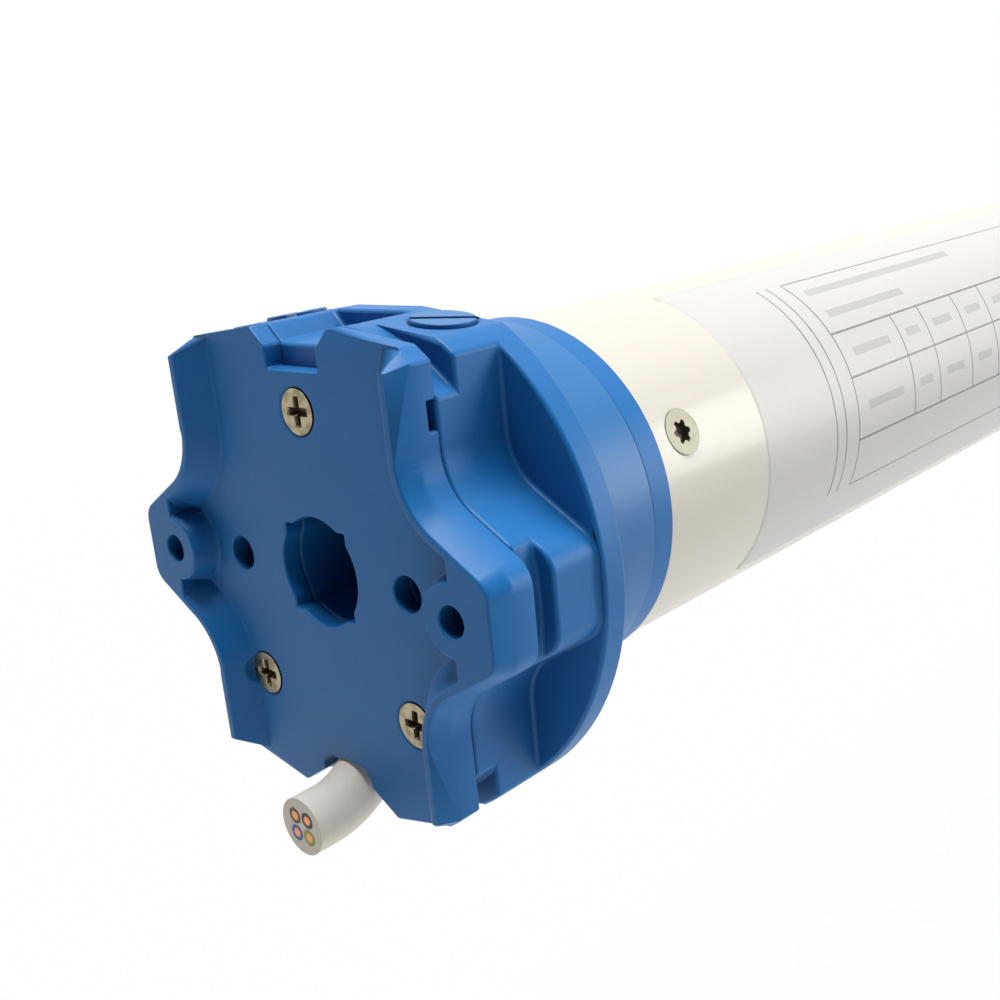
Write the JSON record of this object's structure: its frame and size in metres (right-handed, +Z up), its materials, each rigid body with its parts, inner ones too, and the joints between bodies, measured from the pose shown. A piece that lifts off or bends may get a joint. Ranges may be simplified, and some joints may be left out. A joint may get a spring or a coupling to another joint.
{
  "type": "tubular roller blind motor",
  "caption": "Tubular motor for a roller blind, with a lobed fixing head, square socket, limit ring, round housing tube and geared output shaft.",
  "frame": {"origin": "centre of the square socket's mouth, on the recessed face of the head", "axes": "+X along the motor from the head to the output shaft, +Z up towards the two limit-adjusting screws, +Y to the side away from the rating label"},
  "size_m": [0.4591, 0.0626, 0.0594],
  "materials": {
    "blue_plastic": "moulded, satin",
    "ring_plastic": "moulded, satin",
    "zinc_screw": "yellow zinc plated",
    "tube_screw": "plated, flush with the tube",
    "lead_jacket": "soft PVC, off-white",
    "copper": "bare and enamelled copper",
    "dark_plastic": "moulded, dark",
    "white_plastic": "moulded, white",
    "tube_paint": "cream lacquer, satin gloss",
    "label_paper": "printed film, satin",
    "capacitor_case": "smooth",
    "loom_sleeve": "sleeved wires",
    "steel": "machined",
    "friction_lining": "friction lining",
    "cast_aluminium": "die cast",
    "lamination": "stacked laminations",
    "gear_plastic": "acetal",
    "bronze": "sintered bronze"
  },
  "bodies": {
    "housing": {"front_cover": "blue_plastic", "head_body": "blue_plastic", "ring_collar": "blue_plastic", "cover_screw_1": "zinc_screw", "cover_screw_2": "zinc_screw", "cover_screw_3": "zinc_screw", "tube_screw_1": "tube_screw", "tube_screw_2": "tube_screw", "tube_screw_3": "tube_screw", "end_screw_1": "tube_screw", "end_screw_2": "tube_screw", "end_screw_3": "tube_screw", "power_lead": "lead_jacket", "lead_cores": "copper", "terminal_block": "dark_plastic", "limit_switch_unit": "white_plastic", "micro_switch_left": "dark_plastic", "micro_switch_right": "dark_plastic", "housing_tube": "tube_paint", "rating_label": "label_paper", "capacitor": "capacitor_case", "capacitor_holder_front": "dark_plastic", "capacitor_holder_rear": "dark_plastic", "wiring_loom": "loom_sleeve", "brake_housing": "steel", "brake_coil": "copper", "brake_spring": "steel", "front_shield": "cast_aluminium", "rear_shield": "cast_aluminium", "front_bearing": "steel", "rear_bearing": "steel", "stator_core": "lamination", "stator_winding": "copper", "ring_gear": "cast_aluminium", "end_cap": "dark_plastic", "front_bush": "bronze", "rear_bush": "bronze"},
    "limit_ring": {"limit_ring": "ring_plastic"},
    "limit_pinion": {"limit_pinion": "white_plastic"},
    "adjuster_left": {"adjuster_left": "ring_plastic"},
    "adjuster_right": {"adjuster_right": "ring_plastic"},
    "armature": {"brake_armature": "steel"},
    "rotor": {"rotor_core": "cast_aluminium", "rotor_shaft": "steel", "brake_disc": "friction_lining"},
    "carrier_1": {"carrier_1": "gear_plastic"},
    "carrier_2": {"carrier_2": "steel"},
    "output": {"output_carrier": "steel", "output_clip": "steel"},
    "planet_1_1": {"planet_1_1": "gear_plastic"},
    "planet_1_2": {"planet_1_2": "gear_plastic"},
    "planet_1_3": {"planet_1_3": "gear_plastic"},
    "planet_2_1": {"planet_2_1": "steel"},
    "planet_2_2": {"planet_2_2": "steel"},
    "planet_2_3": {"planet_2_3": "steel"},
    "planet_3_1": {"planet_3_1": "steel"},
    "planet_3_2": {"planet_3_2": "steel"},
    "planet_3_3": {"planet_3_3": "steel"}
  },
  "joints": [
    {"name": "limit_ring_turn", "type": "hinge", "parent": "housing", "child": "limit_ring", "pos_m": [0.0235, 0, 0], "axis": [1, 0, 0], "continuous": true},
    {"name": "limit_pinion_turn", "type": "hinge", "parent": "housing", "child": "limit_pinion", "pos_m": [0.0283, 0.0128, 0], "axis": [1, 0, 0], "continuous": true},
    {"name": "adjuster_left_turn", "type": "hinge", "parent": "housing", "child": "adjuster_left", "pos_m": [0.0112, -0.0124, 0.02663], "axis": [0, -0.1253, 0.9921], "continuous": true},
    {"name": "adjuster_right_turn", "type": "hinge", "parent": "housing", "child": "adjuster_right", "pos_m": [0.0112, 0.0124, 0.02663], "axis": [0, 0.1253, 0.9921], "continuous": true},
    {"name": "armature_pull", "type": "slide", "parent": "housing", "child": "armature", "axis": [-1, 0, 0], "range_m": [0, 0.0008], "stiffness_N_per_m": 1500, "springref_m": -0.002},
    {"name": "rotor_spin", "type": "hinge", "parent": "housing", "child": "rotor", "pos_m": [0.25, 0, 0], "axis": [1, 0, 0], "continuous": true},
    {"name": "carrier_1_turn", "type": "hinge", "parent": "housing", "child": "carrier_1", "pos_m": [0.32, 0, 0], "axis": [1, 0, 0], "continuous": true},
    {"name": "planet_1_1_spin", "type": "hinge", "parent": "carrier_1", "child": "planet_1_1", "pos_m": [0.32, 0.0108, 0], "axis": [1, 0, 0], "continuous": true},
    {"name": "planet_1_2_spin", "type": "hinge", "parent": "carrier_1", "child": "planet_1_2", "pos_m": [0.32, -0.0054, 0.00935], "axis": [1, 0, 0], "continuous": true},
    {"name": "planet_1_3_spin", "type": "hinge", "parent": "carrier_1", "child": "planet_1_3", "pos_m": [0.32, -0.0054, -0.00935], "axis": [1, 0, 0], "continuous": true},
    {"name": "carrier_2_turn", "type": "hinge", "parent": "housing", "child": "carrier_2", "pos_m": [0.32, 0, 0], "axis": [1, 0, 0], "continuous": true},
    {"name": "planet_2_1_spin", "type": "hinge", "parent": "carrier_2", "child": "planet_2_1", "pos_m": [0.32, 0.0108, 0], "axis": [1, 0, 0], "continuous": true},
    {"name": "planet_2_2_spin", "type": "hinge", "parent": "carrier_2", "child": "planet_2_2", "pos_m": [0.32, -0.0054, 0.00935], "axis": [1, 0, 0], "continuous": true},
    {"name": "planet_2_3_spin", "type": "hinge", "parent": "carrier_2", "child": "planet_2_3", "pos_m": [0.32, -0.0054, -0.00935], "axis": [1, 0, 0], "continuous": true},
    {"name": "output_turn", "type": "hinge", "parent": "housing", "child": "output", "pos_m": [0.32, 0, 0], "axis": [1, 0, 0], "continuous": true},
    {"name": "planet_3_1_spin", "type": "hinge", "parent": "output", "child": "planet_3_1", "pos_m": [0.32, 0.0108, 0], "axis": [1, 0, 0], "continuous": true},
    {"name": "planet_3_2_spin", "type": "hinge", "parent": "output", "child": "planet_3_2", "pos_m": [0.32, -0.0054, 0.00935], "axis": [1, 0, 0], "continuous": true},
    {"name": "planet_3_3_spin", "type": "hinge", "parent": "output", "child": "planet_3_3", "pos_m": [0.32, -0.0054, -0.00935], "axis": [1, 0, 0], "continuous": true}
  ],
  "couplings": [
    {"joint": "limit_pinion_turn", "follows": "limit_ring_turn", "ratio": 3},
    {"joint": "carrier_1_turn", "follows": "rotor_spin", "ratio": 0.1875},
    {"joint": "planet_1_1_spin", "follows": "rotor_spin", "ratio": -0.4875},
    {"joint": "planet_1_2_spin", "follows": "rotor_spin", "ratio": -0.4875},
    {"joint": "planet_1_3_spin", "follows": "rotor_spin", "ratio": -0.4875},
    {"joint": "carrier_2_turn", "follows": "rotor_spin", "ratio": 0.035156},
    {"joint": "planet_2_1_spin", "follows": "rotor_spin", "ratio": -0.091406},
    {"joint": "planet_2_2_spin", "follows": "rotor_spin", "ratio": -0.091406},
    {"joint": "planet_2_3_spin", "follows": "rotor_spin", "ratio": -0.091406},
    {"joint": "output_turn", "follows": "rotor_spin", "ratio": 0.0065918},
    {"joint": "planet_3_1_spin", "follows": "rotor_spin", "ratio": -0.017139},
    {"joint": "planet_3_2_spin", "follows": "rotor_spin", "ratio": -0.017139},
    {"joint": "planet_3_3_spin", "follows": "rotor_spin", "ratio": -0.017139}
  ]
}
